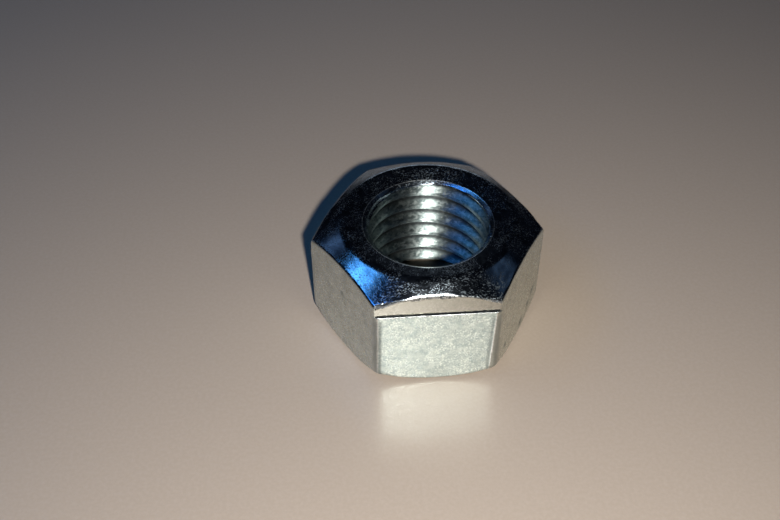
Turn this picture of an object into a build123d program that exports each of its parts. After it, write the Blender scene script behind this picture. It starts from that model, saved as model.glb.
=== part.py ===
from build123d import *
from build123d.topology import SkipClean
import os
from math import ceil, radians, sqrt, tan

# All-metal prevailing-torque hexagon lock nut. It stands on its bearing face at Z = 0, with its thread
# along +Z and two of its six flats facing -Y and +Y. All lengths are millimetres and all angles degrees.

# Hexagon
across_flats = 28.575
height = 17.1
corner_radius = 1.0          # rounding of the six upright edges

# Turned top: a cone round the outside, then a shallow dish that falls towards the thread
cone_angle = 30.0            # below horizontal
rim_diameter = 23.6          # where the cone meets the dish
dish_depth = 0.6
mouth_diameter = 18.1        # where the dish ends and the upper countersink starts

# Turned foot
foot_angle = 30.0            # above horizontal
foot_rise = 0.43             # height of the foot chamfer at the middle of a flat

# Thread, 3/4 inch coarse, ten turns to the inch
thread_diameter = 19.05      # across the thread's sharp root
thread_pitch = 2.54
bore_diameter = 16.3         # across the thread's crests
flank_angle = 30.0           # each flank from the plane across the thread
groove_overshoot = 0.3       # how far the groove's profile opens inside the crests
thread_start_angle = 180.0   # where each turn of the groove begins, from +X
thread_start_height = 1.33   # level of the groove's middle there, over the bearing face
upper_countersink_angle = 40.0   # below horizontal
lower_countersink_angle = 45.0
lower_countersink_diameter = 19.9

# Crimps: three presses against the cone, on every second flat, that pinch the top of the thread
crimp_count = 3
crimp_drop = 4.1             # from the rim down to the ledge that each press leaves
crimp_depth = 0.33           # depth of the ledge
crimp_lean = 2.0             # how far the pressed flat leans in from upright
crimp_shoulder_radius = 0.6  # rounding between the pressed flat and the cone
crimp_heading = 270.0        # direction that the first pressed flat faces, from +X

flat_distance = across_flats / 2
clear = 2.0                  # how far cutting shapes reach past the metal
outside = across_flats / sqrt(3) + clear
rim_radius = rim_diameter / 2
mouth_radius = mouth_diameter / 2
bore_radius = bore_diameter / 2
lower_countersink_radius = lower_countersink_diameter / 2
mouth_height = height - dish_depth
crimp_height = height - crimp_drop
countersink_height = mouth_height - (mouth_radius - bore_radius) * tan(radians(upper_countersink_angle))
lower_countersink_height = (lower_countersink_radius - bore_radius) * tan(radians(lower_countersink_angle))

# Cutting shape of the thread: one turn of a right-hand groove with a sharp root. Turns stacked a pitch apart
# make the whole groove, from under the bearing face to over the rim.
groove_depth = thread_diameter / 2 - bore_radius
groove_mouth = 2 * (groove_depth + groove_overshoot) * tan(radians(flank_angle))
turn_count = 1 + ceil((height - thread_start_height + groove_mouth / 2) / thread_pitch)
with BuildPart() as groove_turn:
    with BuildLine() as helix:
        Helix(pitch=thread_pitch, height=thread_pitch, radius=bore_radius)
    with BuildSketch(Plane.XZ):
        with BuildLine():
            Polyline(
                (bore_radius - groove_overshoot, -groove_mouth / 2),
                (bore_radius + groove_depth, 0),
                (bore_radius - groove_overshoot, groove_mouth / 2),
                close=True,
            )
        make_face()
    sweep(path=helix.line, is_frenet=True)

with BuildPart() as nut:
    # Hexagon bar with its upright edges rounded
    with BuildSketch(Plane.XY):
        RegularPolygon(radius=flat_distance, side_count=6, major_radius=False)
    extrude(amount=height)
    fillet(nut.edges().filter_by(Axis.Z), corner_radius)

    # What turning leaves: the foot chamfer, the cone and the dish
    with BuildSketch(Plane.YZ):
        with BuildLine():
            Polyline(
                (0, 0),
                (flat_distance - foot_rise / tan(radians(foot_angle)), 0),
                (outside, foot_rise + (outside - flat_distance) * tan(radians(foot_angle))),
                (outside, height - (outside - rim_radius) * tan(radians(cone_angle))),
                (rim_radius, height),
                (mouth_radius, mouth_height),
                (0, mouth_height),
                close=True,
            )
        make_face()
    revolve(axis=Axis.Z, mode=Mode.INTERSECT)

    # Pressed flats, each a slab cut away above its ledge and a shoulder rounded into the cone
    with PolarLocations(0, crimp_count, start_angle=crimp_heading):
        with Locations(Location((flat_distance - crimp_depth, 0, crimp_height), (0, -crimp_lean, 0))):
            Box(
                clear + crimp_depth,
                2 * outside,
                height,
                align=(Align.MIN, Align.CENTER, Align.MIN),
                mode=Mode.SUBTRACT,
            )
    fillet(nut.edges(Select.LAST).filter_by(GeomType.HYPERBOLA), crimp_shoulder_radius)

    # Bore with a countersink at each end
    with BuildSketch(Plane.YZ):
        with BuildLine():
            Polyline(
                (0, -clear),
                (lower_countersink_radius, -clear),
                (lower_countersink_radius, 0),
                (bore_radius, lower_countersink_height),
                (bore_radius, countersink_height),
                (mouth_radius, mouth_height),
                (mouth_radius, height + clear),
                (0, height + clear),
                close=True,
            )
        make_face()
    revolve(axis=Axis.Z, mode=Mode.SUBTRACT)

    # Thread
    turn_heights = [thread_start_height + (turn - 1) * thread_pitch for turn in range(turn_count)]
    with Locations(*[Location((0, 0, level), (0, 0, thread_start_angle)) for level in turn_heights]):
        add(groove_turn.part, mode=Mode.SUBTRACT)

# The finished nut is parted through two corners and joined again with its faces left apart, so that the
# crest of the thread is faces of half a turn at most, and none winds on itself.
halves = nut.part.solid().split(Plane.XZ, keep=Keep.BOTH)
with SkipClean(), BuildPart() as lock_nut:
    add(halves)

lock_nut.part.label = "lock_nut"
os.makedirs("parts", exist_ok=True)
export_step(lock_nut.part, "parts/lock_nut.step")
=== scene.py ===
"""Dressed model of an all-metal hexagon lock nut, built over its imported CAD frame.

The nut is one piece of zinc plated steel, and its skin is one closed mesh. Columns of points stand round
the thread's axis, each in two parts that start at the foot's countersink and end at the thread's mouth. The
outer part crosses the bearing face, climbs the side and bends over the turned top. The inner part climbs the
thread, whose rows follow its helix, so there the last column joins the first one a pitch further on.
"""

import logging
import math
from dataclasses import dataclass, field
from enum import Enum

import bmesh
import bpy
from mathutils import Matrix, Vector, noise

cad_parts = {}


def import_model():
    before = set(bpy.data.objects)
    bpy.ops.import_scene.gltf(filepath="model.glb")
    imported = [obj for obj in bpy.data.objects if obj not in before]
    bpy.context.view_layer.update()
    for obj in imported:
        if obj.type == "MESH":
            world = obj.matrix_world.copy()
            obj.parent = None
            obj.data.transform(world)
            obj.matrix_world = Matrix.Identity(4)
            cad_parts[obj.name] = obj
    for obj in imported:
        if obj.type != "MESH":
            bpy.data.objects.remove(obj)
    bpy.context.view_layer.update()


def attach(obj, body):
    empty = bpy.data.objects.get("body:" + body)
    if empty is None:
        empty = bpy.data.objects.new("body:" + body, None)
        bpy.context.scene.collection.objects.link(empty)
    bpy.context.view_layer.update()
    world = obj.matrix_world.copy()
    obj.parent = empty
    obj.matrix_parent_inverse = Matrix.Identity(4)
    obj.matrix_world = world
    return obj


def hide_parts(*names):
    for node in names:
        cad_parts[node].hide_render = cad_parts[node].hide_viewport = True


MM = 0.001
SIDES = 6
SECTOR = 2 * math.pi / SIDES
TOUCHING_MM = 1e-6
MERGED_M = 1e-7

log = logging.getLogger("lock_nut")

Colour = tuple[float, float, float]
Stretch = tuple[float, float, float]
Point = tuple[float, float]
Span = tuple[float, float]
Socket = bpy.types.NodeSocket


class Zone(Enum):
    """A stretch of the nut's skin with a finish of its own. Its value is its material's index."""

    FORGED = 0
    PRESSED = 1
    TURNED = 2
    TAPPED = 3
    BURNISHED = 4
    FROSTED = 5


def smooth_step(low: float, high: float, value: float) -> float:
    """Ease from 0 at and before one level to 1 at and past another."""
    share = min(1.0, max(0.0, (value - low) / (high - low)))
    return share * share * (3 - 2 * share)


def soft_min(first: float, second: float, blend: float) -> float:
    """Take the lower of two lengths, and a little less where they differ by less than the blend."""
    share = max(blend - abs(first - second), 0.0) / blend
    return min(first, second) - share * share * blend / 4


def turn_between(first: float, second: float) -> float:
    """Signed angle from one direction to another, from -pi to pi."""
    return (second - first + math.pi) % (2 * math.pi) - math.pi


def band(rise: Span, fall: Span, value: float) -> float:
    """Ease from 0 to 1 over one span, and back to 0 over a later one."""
    return smooth_step(*rise, value) * (1 - smooth_step(*fall, value))


def bell(off: float, spread: float) -> float:
    """Share that is 1 where a distance is 0, and falls towards 0 past a spread."""
    return math.exp(-((off / spread) ** 2))


def outward(azimuth: float) -> Vector:
    """Vector of length 1 that points away from the axis, at an azimuth in radians."""
    return Vector((math.cos(azimuth), math.sin(azimuth), 0))


def finished_object(name: str, skin: bmesh.types.BMesh) -> bpy.types.Object:
    """Turn a skin into an object of the scene.

    Args:
        name: Name of the object and of its mesh.
        skin: The skin, which is freed.

    Returns:
        The object.
    """
    mesh = bpy.data.meshes.new(name)
    skin.to_mesh(mesh)
    skin.free()
    made = bpy.data.objects.new(name, mesh)
    bpy.context.collection.objects.link(made)
    return made


@dataclass(frozen=True)
class Waver:
    """A value that wavers from place to place: a steady part with smooth noise on top of it."""

    steady: float
    swing: float
    marks_per_mm: float
    folded: bool = False

    def at(self, place: Vector, lift: float = 0.0) -> float:
        """Value at a place in millimetres, with a lift added to its steady part."""
        found = noise.noise(place * self.marks_per_mm)
        return self.steady + lift + self.swing * (abs(found) if self.folded else found)


@dataclass
class Corner:
    """One corner of the nut's profile: its rounding, and the sampling and zone of the stretch after it."""

    place: Point
    radius: float
    arc_steps: int
    run_steps: int
    zone: Zone
    # Lightening of the rounding by wear, partly a painted highlight, and painted shade on the stretch after
    # it.
    wear_and_highlight: float = 0.0
    painted_shade: float = 0.0


@dataclass
class Nick:
    """A small dent that handling has left in a flat, in millimetres and radians."""

    azimuth: float
    level: float
    spread: float
    depth: float
    # How much painted shade darkens the dent.
    painted_shade: float = 0.8

    def share(self, azimuth: float, radius: float, level: float) -> float:
        """How much of the dent a point feels, from 1 in the dent's middle to 0 outside it."""
        across = turn_between(self.azimuth, azimuth) * radius
        return math.exp(-(across**2 + (level - self.level) ** 2) / self.spread**2)


@dataclass
class HexagonBlank:
    """The forged hexagon with its turned ends and its three pressed flats, in millimetres and radians."""

    # The hexagon and its turned ends.
    across_flats: float = 28.575
    height: float = 17.1
    corner_radius: float = 1.0
    cone_slope: float = math.tan(math.radians(30.0))
    rim_radius: float = 11.8
    dish_depth: float = 0.6
    mouth_radius: float = 9.05
    foot_slope: float = math.tan(math.radians(30.0))
    foot_rise: float = 0.43
    foot_mouth_radius: float = 9.95
    flat_sink: float = 0.08

    # The pressed flats. Each one's plane counts within its half angle. From its full depth on, a flat takes
    # all that belongs to a pressed one.
    crimp_headings: tuple[float, ...] = (math.radians(270), math.radians(30), math.radians(150))
    crimp_height: float = 12.78
    crimp_depth: float = 0.33
    crimp_slope: float = math.tan(math.radians(2.0))
    crimp_half_angle: float = math.radians(75)
    crimp_full_depth: float = 0.2
    crimp_blend: float = 0.08
    facet_rounds: int = 6

    # The profile's roundings. The shoulder swells on the middle of each pressed flat, and both it and the
    # foot's edge grow to a tip radius at the corners. The noise's layers are fall-off, spacing and count.
    edge_radius: float = 0.6
    thin_shoulder_radius: float = 0.32
    shoulder_radius: float = 0.8
    shoulder_unevenness: float = 0.3
    shoulder_marks_per_mm: float = 0.9
    shoulder_layers: tuple[float, float, int] = (0.6, 2.0, 3)
    swell_rise: Span = (math.radians(-19), math.radians(-11))
    swell_fall: Span = (math.radians(8), math.radians(12))
    tip_radius: float = 1.0
    tip_spread: float = math.radians(7)
    rim_edge_radius: float = 1.8
    lip_edge_radius: float = 0.3
    foot_edge_radius: float = 0.45
    foot_tip_radius: float = 1.6

    # The burr along each ledge's outer edge, and the painted shade behind it.
    burr_height: float = 0.10
    burr_rise: Waver = Waver(0.45, 1.1, 2.3, folded=True)
    burr_width: float = 0.09
    burr_bulge: Waver = Waver(0.4, 1.5, 1.9, folded=True)
    burr_foot: float = 0.03
    burr_radius: float = 0.05
    ledge_edge_radius: float = 0.03
    trough_share: float = 0.3
    ledge_shade_height: float = 0.20
    ledge_shade_rise: Waver = Waver(0.75, 0.8, 3.1)
    ledge_shade_edge: float = 0.05

    # The forging's waves and the creases, on the flats below the ledge. A crease is given by its angle from
    # the middle of a pressed flat, at the bearing face, and by how far it leans in each millimetre up.
    side_rise: Span = (0.3, 1.2)
    side_fall: Span = (12.2, 12.8)
    side_margin: float = 0.3
    broad_waves: Waver = Waver(0.0, 0.014, 0.28)
    fine_waves: Waver = Waver(0.0, 0.006, 0.9)
    creases: tuple[Point, ...] = (
        (math.radians(-29.7), math.radians(0.05)),
        (math.radians(27.1), math.radians(0.12)),
    )
    crease_height: float = 0.055
    crease_rise: Waver = Waver(0.7, 0.6, 0.8)
    crease_spread: float = math.radians(0.36)

    # Wear, painted highlight and painted shade. The burnish shrinks over its end, two angles from the middle
    # of a pressed flat. The line of painted shade beside a crease takes its spread and its shift in spreads
    # of the crease itself.
    shoulder_wear: float = 0.05
    swell_wear: float = 0.2
    # The lip's light edge is partly wear and partly a painted highlight.
    lip_wear_and_highlight: float = 0.8
    burnish: Waver = Waver(0.5, 0.5, 1.7)
    burnish_loss: float = 0.4
    burnish_end: Span = (math.radians(16), math.radians(27))
    shade_rise: Span = (0.8, 1.6)
    shade_fall: Span = (11.6, 12.8)
    # Painted shade in a line beside each crease.
    crease_shade: float = 0.38
    crease_shade_spread: float = 1.8
    crease_shade_shift: float = 3.0
    # Painted shade along the rounded corners.
    corner_shade: float = 0.3
    corner_shade_spread: float = math.radians(2.2)
    nicks: tuple[Nick, ...] = (
        Nick(math.radians(210.2), 10.7, 0.30, 0.10),
        Nick(math.radians(351.5), 4.6, 0.55, 0.10),
        Nick(math.radians(345.5), 3.2, 0.45, 0.08),
        Nick(math.radians(336.0), 1.6, 0.60, 0.10),
        Nick(math.radians(311.0), 3.2, 0.45, 0.06),
        Nick(math.radians(272.0), 1.6, 1.60, 0.02, 0.12),
    )

    @property
    def flat_distance(self) -> float:
        """Distance of each flat from the axis."""
        return self.across_flats / 2

    @property
    def corner_centre(self) -> float:
        """Distance from the axis to the middle of each corner's rounding."""
        return (self.flat_distance - self.corner_radius) / math.cos(SECTOR / 2)

    @property
    def corner_end(self) -> float:
        """Half the angle that each rounded corner takes up."""
        reach = self.corner_centre + self.corner_radius * math.cos(SECTOR / 2)
        return math.atan2(self.corner_radius * math.sin(SECTOR / 2), reach)

    @property
    def mouth_level(self) -> float:
        """Height at which the thread's mouth opens into the dish."""
        return self.height - self.dish_depth

    def off_corner(self, azimuth: float) -> float:
        """Angle between a direction and the nearest corner of the hexagon, in radians."""
        return abs(turn_between(round(azimuth / SECTOR) * SECTOR, azimuth))

    def off_crimp(self, azimuth: float) -> float:
        """Signed angle from the middle of the nearest pressed flat to a direction, in radians."""
        return min((turn_between(heading, azimuth) for heading in self.crimp_headings), key=abs)

    def crease(self, azimuth: float, level: float, spread: float, shift: float = 0.0) -> float:
        """How near a point lies to one of the creases beside a pressed flat.

        Args:
            azimuth: The point's direction from the axis, in radians.
            level: Its height over the bearing face.
            spread: Half the crease's width, in radians.
            shift: How far inside the crease to look, in radians.

        Returns:
            1 on the crease's line, falling to 0 beside it.
        """
        found = 0.0
        for heading in self.crimp_headings:
            off = turn_between(heading, azimuth)
            for foot, lean in self.creases:
                line = foot + lean * level
                line -= math.copysign(shift, line)
                found = max(found, bell(off - line, spread))
        return found

    def is_frosted(self, azimuth: float, level: float) -> bool:
        """Tell whether a point lies between the two creases of a pressed flat.

        Args:
            azimuth: The point's direction from the axis, in radians.
            level: Its height over the bearing face.

        Returns:
            True inside both creases, False elsewhere.
        """
        (left, left_lean), (right, right_lean) = self.creases
        start = left + left_lean * level + self.crease_spread
        end = right + right_lean * level - self.crease_spread
        return any(start < turn_between(heading, azimuth) < end for heading in self.crimp_headings)

    def flat_reach(self, azimuth: float) -> float:
        """Radius of the hexagon's side.

        Args:
            azimuth: Direction from the axis, in radians.

        Returns:
            Distance from the axis to the flat or to the rounded corner.
        """
        off = self.off_corner(azimuth)
        if off >= self.corner_end:
            return self.flat_distance / math.cos(SECTOR / 2 - off)
        aside = self.corner_centre * math.sin(off)
        return self.corner_centre * math.cos(off) + math.sqrt(self.corner_radius**2 - aside**2)

    def crimp_reach(self, azimuth: float, level: float) -> float:
        """Radius of the nearest pressed flat's plane.

        Args:
            azimuth: Direction from the axis, in radians.
            level: Height over the bearing face.

        Returns:
            Distance from the axis to the pressed flat's plane.
        """
        plane = self.flat_distance - self.crimp_depth - (level - self.crimp_height) * self.crimp_slope
        off = abs(self.off_crimp(azimuth))
        return plane / math.cos(off) if off < self.crimp_half_angle else self.across_flats

    def side_reach(self, azimuth: float, level: float) -> float:
        """Radius at a level of the flat, the corner or the pressed flat, whichever is the least."""
        plain = self.flat_reach(azimuth) - self.flat_sink
        return soft_min(plain, self.crimp_reach(azimuth, level) - self.flat_sink, self.crimp_blend)

    def cone_level(self, radius: float) -> float:
        """Height of the cone over the bearing face, at a distance from the axis."""
        return self.height - (radius - self.rim_radius) * self.cone_slope

    def pressed_share(self, azimuth: float) -> float:
        """How far a direction lies inside a pressed flat, from 0 on a plain flat to 1."""
        depth = self.flat_reach(azimuth) - self.crimp_reach(azimuth, self.crimp_height)
        return smooth_step(0.0, self.crimp_full_depth, depth)

    def burnished_share(self, azimuth: float) -> float:
        """How much of a shoulder its tool has burnished, from the shoulder's lower edge up."""
        loss = self.burnish_loss * smooth_step(*self.burnish_end, abs(self.off_crimp(azimuth)))
        return self.burnish.at(outward(azimuth) * self.flat_distance, -loss)

    def corners(self, azimuth: float) -> list[Corner]:
        """Corners of the profile from the bearing face, up the outside and over to the thread's mouth.

        Args:
            azimuth: Direction from the axis, in radians.

        Returns:
            The corners, each with its rounding and the steps up to the next corner.
        """
        side = self.flat_reach(azimuth) - self.flat_sink
        around = outward(azimuth) * side
        pressed = self.pressed_share(azimuth)
        off = self.off_crimp(azimuth)
        swell = pressed * band(self.swell_rise, self.swell_fall, off)
        tip = bell(self.off_corner(azimuth), self.tip_spread)

        # Foot: the chamfer follows the side in and out.
        foot_start = self.flat_distance - self.foot_rise / self.foot_slope
        foot_level = self.foot_rise + (side - self.flat_distance) * self.foot_slope
        foot_edge = self.foot_edge_radius + (self.foot_tip_radius - self.foot_edge_radius) * tip

        # Ledge: the burr stands up from the flat's top edge, and painted shade lies behind it.
        ledge = self.side_reach(azimuth, self.crimp_height)
        edge = self.ledge_edge_radius * pressed
        brow = self.crimp_height - self.burr_foot * pressed
        burr_top = self.crimp_height + self.burr_height * pressed * self.burr_rise.at(around)
        crest = side - self.burr_width * pressed * self.burr_bulge.at(around)
        trough = crest + (ledge - crest) * self.trough_share
        ledge_shade_top = self.crimp_height + self.ledge_shade_height * pressed * self.ledge_shade_rise.at(around, off)

        # Shoulder: each round brings the corner closer to where the leaning side meets the cone.
        facet_side = side
        facet_top = self.cone_level(side)
        for _ in range(self.facet_rounds):
            facet_side = self.side_reach(azimuth, facet_top)
            facet_top = self.cone_level(facet_side)
        plain = self.edge_radius * (1 - pressed) + self.thin_shoulder_radius * pressed
        shoulder = plain + (self.shoulder_radius - plain) * swell + (self.tip_radius - plain) * tip
        uneven = noise.fractal(around * self.shoulder_marks_per_mm, *self.shoulder_layers)
        shoulder *= 1 + self.shoulder_unevenness * uneven
        shoulder_wear = self.shoulder_wear + self.swell_wear * swell

        mouth = (self.mouth_radius, self.mouth_level)
        is_pressed = pressed > 0.5
        above = Zone.PRESSED if is_pressed else Zone.FORGED
        worn = Zone.BURNISHED if is_pressed else Zone.FORGED
        # Each row: place, rounding, steps round it, steps to the next corner, zone after it, wear and
        # painted highlight, painted shade.
        return [
            Corner((self.foot_mouth_radius, 0.0), 0.0, 0, 4, Zone.FORGED),
            Corner((foot_start, 0.0), self.foot_edge_radius, 4, 2, Zone.FORGED),
            Corner((side, foot_level), foot_edge, 5, 32, Zone.FORGED),
            Corner((side, brow), self.burr_radius * pressed, 4, 1, worn, pressed),
            Corner((crest, burr_top), edge, 3, 1, above, pressed),
            # From the trough over the ledge and up a band of the flat, painted shade darkens what lies
            # behind the burr.
            Corner((trough, self.crimp_height), edge, 2, 1, above, 0.0, pressed),
            Corner((ledge, self.crimp_height), edge, 3, 1, above, 0.0, pressed),
            Corner((ledge, ledge_shade_top), 0.0, 0, 1, above, 0.0, pressed),
            Corner((ledge, ledge_shade_top + self.ledge_shade_edge), 0.0, 0, 10, above),
            Corner((facet_side, facet_top), shoulder, 10, 18, Zone.TURNED, shoulder_wear),
            Corner((self.rim_radius, self.height), self.rim_edge_radius, 8, 10, Zone.TURNED),
            Corner(mouth, self.lip_edge_radius, 4, 0, Zone.TURNED, self.lip_wear_and_highlight),
        ]

    def sink(self, azimuth: float, radius: float, level: float) -> float:
        """How far the outside lies inside its true form: the forging's waves, the nicks and the creases.

        Args:
            azimuth: Direction from the axis, in radians.
            radius: Distance of the true form from the axis.
            level: Height over the bearing face.

        Returns:
            The distance inwards, less than zero on a crease.
        """
        on_side = band(self.side_rise, self.side_fall, level)
        if radius < self.flat_distance - self.side_margin or not on_side:
            return 0.0
        place = Vector((math.cos(azimuth) * radius, math.sin(azimuth) * radius, level))
        waves = self.broad_waves.at(place) + self.fine_waves.at(place)
        crease = self.crease(azimuth, level, self.crease_spread) * self.crease_rise.at(place)
        dents = sum(nick.depth * nick.share(azimuth, radius, level) for nick in self.nicks)
        return (waves + dents - crease * self.crease_height) * on_side

    def painted_shade(self, azimuth: float, radius: float, level: float) -> float:
        """Painted shade on the outside: in the nicks, in a line beside each crease and along the corners.

        Args:
            azimuth: Direction from the axis, in radians.
            radius: Distance of the true form from the axis.
            level: Height over the bearing face.

        Returns:
            A share from 0 to 1.
        """
        marks = sum(nick.painted_shade * nick.share(azimuth, radius, level) for nick in self.nicks)
        spread = self.crease_spread * self.crease_shade_spread
        shift = self.crease_spread * self.crease_shade_shift
        line = self.crease(azimuth, level, spread, shift) * self.crease_shade
        corner = bell(self.off_corner(azimuth), self.corner_shade_spread) * self.corner_shade
        return min(1.0, marks + (line + corner) * band(self.shade_rise, self.shade_fall, level))


@dataclass
class TappedBore:
    """The thread and its countersinks, in millimetres and radians."""

    thread_radius: float = 9.525
    pitch: float = 2.54
    crest_radius: float = 8.15
    flank_slope: float = 1 / math.tan(math.radians(30.0))
    root_share: float = 1 / 8
    groove_level: float = 0.694
    groove_azimuth: float = math.radians(90.0)
    upper_slope: float = math.tan(math.radians(40.0))
    lower_slope: float = math.tan(math.radians(45.0))
    countersink_blend: float = 0.06
    runout: Span = (15.35, 16.35)
    mouth_blend: float = 0.08
    pinch_depth: float = 0.16
    pinch_spread: float = math.radians(15.0)
    pinch_rise: Span = (11.5, 14.0)
    pinch_fall: Span = (15.2, 16.2)
    crest_blend: float = 0.22
    turned_from: float = 15.45
    # Painted shade in the groove's root, fading out near both ends.
    shade_share: float = 0.9
    shade_radii: Span = (8.80, 9.12)
    shade_rise: Span = (0.8, 1.6)
    shade_fall: Span = (15.4, 16.0)
    stations: tuple[float, ...] = (
        0.0, 0.14, 0.19, 0.34, 0.50, 0.64, 0.76, 0.86, 0.94, 1.02, 1.12, 1.27,
    )  # fmt: skip

    def steps(self) -> list[float]:
        """Rises over one pitch at which the thread's profile is sampled, from the groove's middle."""
        rise = list(self.stations)
        return rise + [self.pitch - place for place in reversed(rise[1:-1])]

    def radius(self, azimuth: float, level: float, blank: HexagonBlank) -> float:
        """Distance of the thread's wall from the axis.

        Args:
            azimuth: Direction from the axis, in radians.
            level: Height over the bearing face.
            blank: The nut that the thread is cut in.

        Returns:
            The wall's radius.
        """
        middle = self.groove_level + self.pitch * (azimuth - self.groove_azimuth) / (2 * math.pi)
        off = abs((level - middle + self.pitch / 2) % self.pitch - self.pitch / 2)
        flat = self.pitch * self.root_share / 2
        depth = self.thread_radius - self.crest_radius
        wall = depth - max(0.0, off - flat) * self.flank_slope
        wall = -soft_min(-wall, 0.0, self.crest_blend)
        wall *= 1 - smooth_step(*self.runout, level)
        turns = (turn_between(heading, azimuth) for heading in blank.crimp_headings)
        pinch = self.pinch_depth * sum(bell(turn, self.pinch_spread) for turn in turns)
        wall -= pinch * band(self.pinch_rise, self.pinch_fall, level)
        upper = blank.mouth_radius - (blank.mouth_level - level) / self.upper_slope - self.crest_radius
        lower = blank.foot_mouth_radius - level / self.lower_slope - self.crest_radius
        countersinks = soft_min(-upper, -lower, self.countersink_blend)
        return self.crest_radius - soft_min(-wall, countersinks, self.mouth_blend)

    def painted_shade(self, radius: float, level: float) -> float:
        """Painted shade on the wall: only deep in the thread's groove, and not near either end."""
        deep = smooth_step(*self.shade_radii, radius)
        return deep * band(self.shade_rise, self.shade_fall, level) * self.shade_share


class FinishGraph:
    """The shader nodes of one finish, with short calls for the few kinds that a finish uses."""

    NOISE_ROUGHNESS = 0.62

    def __init__(self, name: str) -> None:
        """Start a material.

        Args:
            name: The material's name.
        """
        self.material = bpy.data.materials.new(name)
        self.material.use_nodes = True
        self.nodes = self.material.node_tree.nodes
        self.shader = self.nodes["Principled BSDF"]

    def link(self, source: Socket, target: Socket) -> None:
        """Join two sockets."""
        self.material.node_tree.links.new(source, target)

    def attribute(self, name: str, output: str) -> Socket:
        """Read one of the mesh's own values.

        Args:
            name: The value's name.
            output: The node's output to take.

        Returns:
            The socket that carries it.
        """
        node = self.nodes.new("ShaderNodeAttribute")
        node.attribute_name = name
        return node.outputs[output]

    def round_axis(self) -> Socket:
        """Direction of the marks that turning and tapping leave.

        Returns:
            The socket of the direction round the nut's axis.
        """
        node = self.nodes.new("ShaderNodeTangent")
        node.direction_type = "RADIAL"
        node.axis = "Z"
        return node.outputs["Tangent"]

    def place(self, stretch: Stretch, unrolled: bool) -> Socket:
        """Coordinates for noise.

        Args:
            stretch: Scale along each axis, under 1 where the grain is drawn out.
            unrolled: Whether they follow the turning round the axis instead of the object's own space.

        Returns:
            The coordinates' socket.
        """
        squeeze = self.nodes.new("ShaderNodeMapping")
        squeeze.inputs["Scale"].default_value = stretch
        if unrolled:
            self.link(self.attribute("unrolled", "Vector"), squeeze.inputs["Vector"])
        else:
            space = self.nodes.new("ShaderNodeTexCoord")
            self.link(space.outputs["Object"], squeeze.inputs["Vector"])
        return squeeze.outputs["Vector"]

    def cloud(self, place: Socket, size_mm: float, detail: float) -> Socket:
        """Noise of one size.

        Args:
            place: Its coordinates.
            size_mm: Width of its blotches.
            detail: How many finer layers it carries.

        Returns:
            The noise's value.
        """
        node = self.nodes.new("ShaderNodeTexNoise")
        node.inputs["Scale"].default_value = 1 / (size_mm * MM)
        node.inputs["Detail"].default_value = detail
        node.inputs["Roughness"].default_value = self.NOISE_ROUGHNESS
        self.link(place, node.inputs["Vector"])
        return node.outputs["Fac"]

    def spread(self, value: Socket, span: Span, result: Span) -> Socket:
        """Stretch a value from one span to another, clamped at its ends.

        Args:
            value: The value.
            span: The span that it is taken over.
            result: What the ends of that span become.

        Returns:
            The stretched value.
        """
        node = self.nodes.new("ShaderNodeMapRange")
        for name, amount in zip(("From Min", "From Max", "To Min", "To Max"), (*span, *result)):
            node.inputs[name].default_value = amount
        self.link(value, node.inputs["Value"])
        return node.outputs["Result"]

    def times(self, first: Socket, second: Socket) -> Socket:
        """Multiply two values.

        Args:
            first: One value.
            second: The other value.

        Returns:
            Their product.
        """
        node = self.nodes.new("ShaderNodeMath")
        node.operation = "MULTIPLY"
        self.link(first, node.inputs[0])
        self.link(second, node.inputs[1])
        return node.outputs["Value"]

    def colours(self, value: Socket, span: Span, low: Colour, high: Colour) -> Socket:
        """Run from one colour to another.

        Args:
            value: What picks the colour.
            span: The values that take the first and the last colour.
            low: The first colour.
            high: The last colour.

        Returns:
            The colour.
        """
        node = self.nodes.new("ShaderNodeValToRGB")
        for element, position, colour in zip(node.color_ramp.elements, span, (low, high)):
            element.position = position
            element.color = (*colour, 1)
        self.link(value, node.inputs["Fac"])
        return node.outputs["Color"]

    def lay(self, under: Socket, over: Colour, share: Socket) -> Socket:
        """Lay one colour over another.

        Args:
            under: The colour beneath.
            over: The colour laid on it.
            share: Where, and how much.

        Returns:
            The mixed colour.
        """
        node = self.nodes.new("ShaderNodeMix")
        node.data_type = "RGBA"
        node.inputs["B"].default_value = (*over, 1)
        self.link(under, node.inputs["A"])
        self.link(share, node.inputs["Factor"])
        return node.outputs["Result"]

    def blend(self, first: Socket, second: float, share: Socket) -> Socket:
        """Move a value towards a number.

        Args:
            first: The value.
            second: The number.
            share: Where, and how much.

        Returns:
            The blended value.
        """
        node = self.nodes.new("ShaderNodeMix")
        node.data_type = "FLOAT"
        node.inputs["B"].default_value = second
        self.link(first, node.inputs["A"])
        self.link(share, node.inputs["Factor"])
        return node.outputs["Result"]

    def relief(self, height: Socket, depth_mm: float) -> None:
        """Raise the surface by a value.

        Args:
            height: The value.
            depth_mm: Depth that a value of 1 stands for.
        """
        node = self.nodes.new("ShaderNodeBump")
        node.inputs["Strength"].default_value = 1.0
        node.inputs["Distance"].default_value = depth_mm * MM
        self.link(height, node.inputs["Height"])
        self.link(node.outputs["Normal"], self.shader.inputs["Normal"])


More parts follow.
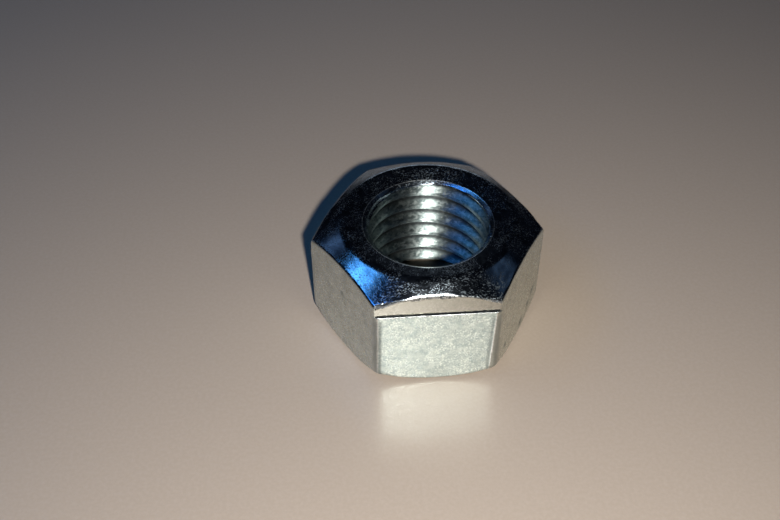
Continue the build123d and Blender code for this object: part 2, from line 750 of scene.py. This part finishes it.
@dataclass(frozen=True)
class ZincFinish:
    """Zinc plate on steel: pale crystals over a darker ground, with bright worn edges, a painted highlight
    on some of them, and painted shade in hollows.
    """

    name: str
    pale: Colour
    dark: Colour
    mottle_mm: float
    mottle_span: Span
    roughness: Span
    crystal: Colour
    crystal_mm: float
    crystal_span: Span
    crystal_roughness: float
    relief_mm: float
    patch_mm: float = 3.0
    patch_span: Span = (0.38, 0.60)
    patch_share: Span = (0.5, 1.0)
    metallic: float = 1.0
    edge: Colour = (0.92, 0.93, 0.90)
    edge_span: Span = (0.38, 0.52)
    edge_share: Span = (0.25, 1.0)
    edge_roughness: float = 0.42
    # Colour of the painted shade.
    painted_shade: Colour = (0.025, 0.028, 0.03)
    shade_roughness: float = 0.7
    sheen_size: float = 0.6
    sheen_span: Span = (0.35, 0.65)
    stretch: Stretch = (1.0, 1.0, 1.0)
    unrolled: bool = False
    turning: float = 0.0
    turning_rotation: float = 0.25
    mottle_detail: float = 6.0
    crystal_detail: float = 2.0
    patch_detail: float = 3.0
    sheen_detail: float = 4.0
    relief_detail: float = 3.0

    def material(self) -> bpy.types.Material:
        """Build the finish.

        Returns:
            The material, its detail laid in the object's own space or along the turned skin.
        """
        graph = FinishGraph(self.name)
        shader = graph.shader
        shader.inputs["Metallic"].default_value = self.metallic
        if self.turning:
            shader.inputs["Anisotropic"].default_value = self.turning
            shader.inputs["Anisotropic Rotation"].default_value = self.turning_rotation
            graph.link(graph.round_axis(), shader.inputs["Tangent"])
        place = graph.place(self.stretch, self.unrolled)
        mottle = graph.cloud(place, self.mottle_mm, self.mottle_detail)
        grain = graph.cloud(place, self.crystal_mm, self.crystal_detail)
        patches = graph.cloud(place, self.patch_mm, self.patch_detail)
        patches = graph.spread(patches, self.patch_span, self.patch_share)
        crystals = graph.times(graph.spread(grain, self.crystal_span, (0.0, 1.0)), patches)
        # Edges lightened by wear; on the lip and along the creases this is partly a painted highlight.
        wear_and_highlight = graph.spread(grain, self.edge_span, self.edge_share)
        wear_and_highlight = graph.times(graph.attribute("wear_and_highlight", "Fac"), wear_and_highlight)
        # Painted shade, from the thread's roots, the ledges, the creases, the corners and the nicks.
        painted_shade = graph.attribute("painted_shade", "Fac")
        colour = graph.colours(mottle, self.mottle_span, self.dark, self.pale)
        sheen = graph.cloud(place, self.mottle_mm * self.sheen_size, self.sheen_detail)
        sheen = graph.spread(sheen, self.sheen_span, self.roughness)
        layers = (
            (self.crystal, self.crystal_roughness, crystals),
            (self.edge, self.edge_roughness, wear_and_highlight),
            (self.painted_shade, self.shade_roughness, painted_shade),
        )
        for tint, roughness, share in layers:
            colour = graph.lay(colour, tint, share)
            sheen = graph.blend(sheen, roughness, share)
        graph.link(colour, shader.inputs["Base Color"])
        graph.link(sheen, shader.inputs["Roughness"])
        graph.relief(graph.cloud(place, self.crystal_mm, self.relief_detail), self.relief_mm)
        return graph.material


FINISHES: dict[Zone, ZincFinish] = {
    Zone.FORGED: ZincFinish(
        name="zinc_on_forged_flats",
        pale=(0.58, 0.62, 0.58),
        dark=(0.42, 0.46, 0.43),
        mottle_mm=1.8,
        mottle_span=(0.34, 0.62),
        roughness=(0.22, 0.30),
        crystal=(0.66, 0.70, 0.67),
        crystal_mm=0.22,
        crystal_span=(0.46, 0.62),
        crystal_roughness=0.40,
        relief_mm=0.010,
        patch_mm=1.6,
        patch_share=(0.2, 0.8),
    ),
    Zone.FROSTED: ZincFinish(
        name="zinc_on_frosted_flats",
        pale=(0.52, 0.58, 0.54),
        dark=(0.36, 0.43, 0.42),
        mottle_mm=1.1,
        mottle_span=(0.38, 0.60),
        roughness=(0.26, 0.34),
        crystal=(0.84, 0.90, 0.83),
        crystal_mm=0.22,
        crystal_span=(0.48, 0.62),
        crystal_roughness=0.46,
        relief_mm=0.018,
        patch_mm=2.4,
        patch_share=(0.25, 1.0),
        metallic=0.80,
    ),
    Zone.PRESSED: ZincFinish(
        name="zinc_on_pressed_flats",
        pale=(0.48, 0.47, 0.42),
        dark=(0.37, 0.37, 0.33),
        mottle_mm=0.6,
        mottle_span=(0.35, 0.65),
        roughness=(0.14, 0.22),
        crystal=(0.60, 0.59, 0.53),
        crystal_mm=0.2,
        crystal_span=(0.50, 0.66),
        crystal_roughness=0.26,
        relief_mm=0.005,
        edge_roughness=0.3,
    ),
    # The turned top's dark blue-grey base is partly the plate's own tone and partly a painted dark
    # reflection.
    Zone.TURNED: ZincFinish(
        name="turned_zinc_with_painted_dark_reflection",
        pale=(0.42, 0.48, 0.54),
        dark=(0.16, 0.19, 0.23),
        mottle_mm=1.1,
        mottle_span=(0.38, 0.62),
        roughness=(0.12, 0.19),
        crystal=(0.28, 0.33, 0.36),
        crystal_mm=0.16,
        crystal_span=(0.55, 0.62),
        crystal_roughness=0.50,
        relief_mm=0.010,
        patch_mm=2.2,
        patch_share=(0.15, 1.0),
        unrolled=True,
        turning=0.35,
    ),
    Zone.TAPPED: ZincFinish(
        name="zinc_on_thread",
        pale=(0.34, 0.40, 0.39),
        dark=(0.17, 0.21, 0.21),
        mottle_mm=0.36,
        mottle_span=(0.40, 0.58),
        roughness=(0.43, 0.53),
        crystal=(0.56, 0.62, 0.60),
        crystal_mm=0.20,
        crystal_span=(0.50, 0.60),
        crystal_roughness=0.57,
        relief_mm=0.020,
        patch_mm=1.5,
        stretch=(0.35, 0.35, 1.0),
        unrolled=True,
        turning=0.96,
    ),
    Zone.BURNISHED: ZincFinish(
        name="zinc_on_worn_shoulders",
        pale=(0.46, 0.48, 0.46),
        dark=(0.06, 0.07, 0.08),
        mottle_mm=0.34,
        mottle_span=(0.45, 0.58),
        roughness=(0.30, 0.40),
        crystal=(0.90, 0.92, 0.89),
        crystal_mm=0.2,
        crystal_span=(0.54, 0.62),
        crystal_roughness=0.46,
        relief_mm=0.035,
        patch_mm=1.2,
        patch_share=(0.2, 1.0),
    ),
}


@dataclass
class SkinPoint:
    """One point of a column, in millimetres. Along is its place up the column once the skin is unrolled."""

    radius: float
    level: float
    along: float
    zone: Zone
    # Lightening by wear and painted highlight, and darkening by painted shade.
    wear_and_highlight: float = 0.0
    painted_shade: float = 0.0


@dataclass
class LockNut:
    """The whole nut: one closed skin, finished by zones."""

    blank: HexagonBlank = field(default_factory=HexagonBlank)
    bore: TappedBore = field(default_factory=TappedBore)
    flat_columns: int = 40
    corner_columns: int = 22
    corner_spread: float = math.radians(3.6)
    rounding_share: float = 0.45
    # How far out a raised place must stand to be lightened: wear, and along the creases a painted highlight.
    ridge_wear_and_highlight: Span = (-0.008, -0.03)
    turns_below: int = 2

    def azimuths(self) -> list[float]:
        """Directions of the columns, close together round each corner and even along each flat.

        Returns:
            The directions in radians, from just before the first corner.
        """
        bend = 2 * self.corner_spread
        found = []
        for corner in range(SIDES):
            start = corner * SECTOR - self.corner_spread
            for run, columns in ((bend, self.corner_columns), (SECTOR - bend, self.flat_columns)):
                found += [start + run * step / columns for step in range(columns)]
                start += run
        return found

    def roundings(self, corners: list[Corner], places: list[Vector]) -> tuple[list[Vector], list[Vector]]:
        """Places where the rounding of each corner starts and ends.

        Args:
            corners: The profile's corners.
            places: Their places, with the end of the last stretch.

        Returns:
            The starts and the ends, both at the corner itself where it stays sharp.
        """
        starts = [places[0]]
        ends = [places[0]]
        for index in range(1, len(corners)):
            here = places[index]
            back = places[index - 1] - here
            ahead = places[index + 1] - here
            shorter = min(back.length, ahead.length)
            reach = 0.0
            if shorter > TOUCHING_MM and corners[index].radius > 0:
                turn = math.pi - back.angle(ahead)
                reach = min(corners[index].radius * math.tan(turn / 2), shorter * self.rounding_share)
            starts.append(here + back.normalized() * reach if reach else here)
            ends.append(here + ahead.normalized() * reach if reach else here)
        return starts, ends

    def outside(self, azimuth: float) -> list[SkinPoint]:
        """Points of one column from the bearing face over to the thread's mouth.

        Args:
            azimuth: The column's direction, in radians.

        Returns:
            The points; each one's zone is that of the faces above it.
        """
        corners = self.blank.corners(azimuth)
        slope = math.atan(self.bore.upper_slope)
        places = [Vector(corner.place) for corner in corners]
        places.append(places[-1] - Vector((math.cos(slope), math.sin(slope))))
        starts, ends = self.roundings(corners, places)
        glossed = self.blank.burnished_share(azimuth)
        spots: list[tuple[Vector, Zone, float, float]] = []
        for index, corner in enumerate(corners):
            before = corners[max(index - 1, 0)]
            for step in range(corner.arc_steps + 1):
                share = step / max(corner.arc_steps, 1)
                spot = starts[index] * (1 - share) ** 2 + places[index] * 2 * share * (1 - share)
                spot += ends[index] * share**2
                nearer = before if share < 0.5 and corner.arc_steps else corner
                zone = nearer.zone
                if before.zone is Zone.PRESSED and corner.zone is Zone.TURNED:
                    zone = Zone.BURNISHED if share < glossed else Zone.TURNED
                spots.append((spot, zone, corner.wear_and_highlight * math.sin(math.pi * share), nearer.painted_shade))
            for step in range(1, corner.run_steps):
                spot = ends[index].lerp(starts[index + 1], step / corner.run_steps)
                spots.append((spot, corner.zone, 0.0, corner.painted_shade))
        points = []
        along = 0.0
        last = places[0]
        for spot, zone, wear_and_highlight, ledge_shade in spots:
            along += (spot - last).length
            last = spot
            sink = self.blank.sink(azimuth, spot.x, spot.y)
            # Painted shade from the ledge, and from the nicks, creases and corners.
            painted_shade = max(ledge_shade, self.blank.painted_shade(azimuth, spot.x, spot.y))
            on_flat = zone is Zone.FORGED and spot.y > self.blank.foot_rise
            if on_flat and self.blank.is_frosted(azimuth, spot.y):
                zone = Zone.FROSTED
            # Raised places are lightened as wear, and along the creases the light line is a painted
            # highlight.
            ridge = smooth_step(*self.ridge_wear_and_highlight, sink)
            points.append(SkinPoint(spot.x - sink, spot.y, along, zone, max(wear_and_highlight, ridge), painted_shade))
        return points

    def inside(self, azimuth: float, mouth: SkinPoint, foot: SkinPoint) -> list[SkinPoint]:
        """Points of one column up the thread, from the bearing face to the thread's mouth.

        Args:
            azimuth: The column's direction, in radians.
            mouth: Where the outside's column ends.
            foot: Where the outside's column starts.

        Returns:
            The points, which climb with the thread.
        """
        bore = self.bore
        turns = math.ceil(self.blank.height / bore.pitch) + self.turns_below
        lead = (azimuth - bore.groove_azimuth) / (2 * math.pi)
        start = bore.groove_level + bore.pitch * (lead - self.turns_below)
        points = []
        for turn in range(turns):
            for step in bore.steps():
                level = min(mouth.level, max(0.0, start + turn * bore.pitch + step))
                radius = bore.radius(azimuth, level, self.blank)
                if level >= mouth.level:
                    radius = mouth.radius
                if level <= 0:
                    radius = foot.radius
                zone = Zone.TURNED if level > bore.turned_from else Zone.TAPPED
                # Painted shade deep in the thread's groove.
                points.append(SkinPoint(radius, level, -level, zone, 0.0, bore.painted_shade(radius, level)))
        return points

    def build(self) -> bpy.types.Object:
        """Build the nut's mesh.

        Returns:
            The object, with its zones as material indices, and its wear with painted highlight and its
            painted shade as attributes.
        """
        azimuths = self.azimuths()
        outside = [self.outside(azimuth) for azimuth in azimuths]
        inside = [self.inside(azimuth, column[-1], column[0]) for azimuth, column in zip(azimuths, outside)]
        skin = bmesh.new()
        wear_and_highlight = skin.verts.layers.float.new("wear_and_highlight")
        painted_shade = skin.verts.layers.float.new("painted_shade")
        unrolled = skin.verts.layers.float_vector.new("unrolled")

        def vertices(azimuth: float, column: list[SkinPoint]) -> list[bmesh.types.BMVert]:
            """Make one column's vertices.

            Args:
                azimuth: The column's direction, in radians.
                column: Its points.

            Returns:
                The vertices in the same order.
            """
            around = outward(azimuth)
            made = []
            for point in column:
                vertex = skin.verts.new((around * point.radius + Vector((0, 0, point.level))) * MM)
                vertex[wear_and_highlight] = point.wear_and_highlight
                vertex[painted_shade] = point.painted_shade
                vertex[unrolled] = (around * self.bore.crest_radius + Vector((0, 0, point.along))) * MM
                made.append(vertex)
            return made

        shell = [vertices(azimuth, column) for azimuth, column in zip(azimuths, outside)]
        wall = [vertices(azimuth, column) for azimuth, column in zip(azimuths, inside)]
        top = len(inside[0]) - 1
        for column in range(len(azimuths)):
            after = (column + 1) % len(azimuths)
            here, there = shell[column], shell[after]
            for row in range(len(here) - 1):
                face = skin.faces.new((here[row], there[row], there[row + 1], here[row + 1]))
                face.material_index = outside[column][row].zone.value
            here, there = wall[column], wall[after]
            climb = len(self.bore.steps()) if after == 0 else 0
            for row in range(top):
                low = min(row + climb, top)
                high = min(row + climb + 1, top)
                if low < high:
                    face = skin.faces.new((here[row], here[row + 1], there[high], there[low]))
                    face.material_index = inside[column][row].zone.value
        bmesh.ops.remove_doubles(skin, verts=skin.verts, dist=MERGED_M)
        nut = finished_object("zinc_plated_nut", skin)
        nut.data.shade_smooth()
        return nut

    def dress(self, nut: bpy.types.Object) -> None:
        """Give the nut its finishes and hand it to the frame.

        Args:
            nut: The object that build() made.
        """
        for zone in Zone:
            nut.data.materials.append(FINISHES[zone].material())
        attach(nut, "root")
        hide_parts("lock_nut")


@dataclass
class Bench:
    """The pale satin bench top that the nut stands on."""

    width: float = 3.0
    colour: Colour = (0.285, 0.232, 0.185)
    fleck: Colour = (0.305, 0.25, 0.202)
    fleck_mm: float = 0.5
    fleck_detail: float = 4.0
    fleck_span: Span = (0.40, 0.66)
    roughness: Span = (0.30, 0.40)
    gloss: float = 0.5
    relief_mm: float = 0.004

    def build(self) -> bpy.types.Object:
        """Build the bench top.

        Returns:
            The floor.
        """
        skin = bmesh.new()
        bmesh.ops.create_grid(skin, x_segments=1, y_segments=1, size=self.width / 2)
        top = finished_object("bench_top", skin)
        graph = FinishGraph("bench_laminate")
        graph.shader.inputs["Specular IOR Level"].default_value = self.gloss
        flecks = graph.cloud(graph.place((1.0, 1.0, 1.0), False), self.fleck_mm, self.fleck_detail)
        colour = graph.colours(flecks, self.fleck_span, self.colour, self.fleck)
        sheen = graph.spread(flecks, self.fleck_span, self.roughness)
        graph.link(colour, graph.shader.inputs["Base Color"])
        graph.link(sheen, graph.shader.inputs["Roughness"])
        graph.relief(flecks, self.relief_mm)
        top.data.materials.append(graph.material)
        return top


@dataclass
class Lamp:
    """One lamp that looks at the nut, placed by its direction in degrees and its distance in metres."""

    name: str
    azimuth: float
    elevation: float
    distance: float
    width: float
    height: float
    watts: float
    colour: Colour
    aim_level: float = 0.01

    def build(self) -> None:
        """Build the lamp."""
        data = bpy.data.lights.new(self.name, "AREA")
        data.shape = "ELLIPSE"
        data.size = self.width
        data.size_y = self.height
        data.energy = self.watts
        data.color = self.colour
        azimuth = math.radians(self.azimuth)
        elevation = math.radians(self.elevation)
        out = Vector(
            (
                math.cos(azimuth) * math.cos(elevation),
                math.sin(azimuth) * math.cos(elevation),
                math.sin(elevation),
            )
        )
        lamp = bpy.data.objects.new(self.name, data)
        lamp.location = out * self.distance + Vector((0, 0, self.aim_level))
        lamp.rotation_euler = out.to_track_quat("Z", "Y").to_euler()
        bpy.context.collection.objects.link(lamp)


@dataclass
class Studio:
    """The lamps, the dim room round them and the camera, in metres and radians."""

    lamps: list[Lamp] = field(
        default_factory=lambda: [
            Lamp("key_lamp", -91.6, 40.6, 0.146, 0.005, 0.005, 0.40, (1.0, 0.985, 0.945)),
            Lamp("cool_window", 167.0, 53.0, 0.50, 0.20, 0.155, 0.31, (0.10, 0.42, 1.0)),
            Lamp("low_lamp", 85.0, 7.0, 0.80, 0.45, 0.09, 0.14, (0.80, 0.90, 1.0)),
            Lamp("cool_side", 210.0, 47.0, 0.60, 0.34, 0.15, 0.50, (0.05, 0.30, 1.0)),
            Lamp("corner_glow", 143.0, 29.0, 0.60, 0.20, 0.13, 0.018, (0.28, 0.52, 1.0)),
            Lamp("side_glow", 8.0, 46.0, 0.80, 0.30, 0.24, 0.02, (0.35, 0.60, 1.0)),
        ]
    )
    room: Colour = (0.003, 0.004, 0.007)
    elevation: float = math.radians(43.748)
    heading: float = math.radians(-3.974)
    roll: float = math.radians(-0.182)
    distance: float = 0.14490
    aim_level: float = 0.01143
    aim_right: float = 0.005239
    aim_up: float = 0.001566
    lens: float = 47.63
    nearest: float = 0.005

    def light(self) -> None:
        """Build the lamps and the room."""
        for lamp in self.lamps:
            lamp.build()
        world = bpy.data.worlds.new("room")
        world.use_nodes = True
        world.node_tree.nodes["Background"].inputs["Color"].default_value = (*self.room, 1)
        bpy.context.scene.world = world

    def camera(self) -> bpy.types.Object:
        """Build the camera.

        Returns:
            The camera, set as the scene's own.
        """
        back = Vector(
            (
                math.sin(self.heading) * math.cos(self.elevation),
                -math.cos(self.heading) * math.cos(self.elevation),
                math.sin(self.elevation),
            )
        )
        level = Vector((math.cos(self.heading), math.sin(self.heading), 0))
        rise = back.cross(level)
        right = level * math.cos(self.roll) + rise * math.sin(self.roll)
        up = rise * math.cos(self.roll) - level * math.sin(self.roll)
        place = Vector((0, 0, self.aim_level)) + back * self.distance
        place -= right * self.aim_right
        place -= up * self.aim_up
        data = bpy.data.cameras.new("camera")
        data.lens = self.lens
        data.clip_start = self.nearest
        camera = bpy.data.objects.new("camera", data)
        camera.matrix_world = Matrix((right, up, back)).transposed().to_4x4()
        camera.location = place
        bpy.context.collection.objects.link(camera)
        bpy.context.scene.camera = camera
        return camera


def main() -> None:
    """Build the nut, its bench, the lamps and the camera over the frame."""
    logging.basicConfig(level=logging.INFO, format="%(message)s")
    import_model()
    nut = LockNut()
    body = nut.build()
    nut.dress(body)
    log.info("%s: %d vertices, %d faces", body.name, len(body.data.vertices), len(body.data.polygons))
    bench = Bench().build()
    log.info("%s: floor", bench.name)
    studio = Studio()
    studio.light()
    log.info("%s: %d lamps", studio.camera().name, len(studio.lamps))
    bpy.context.scene.view_settings.view_transform = "Standard"
    bpy.context.view_layer.update()


if __name__ == "__main__":
    main()
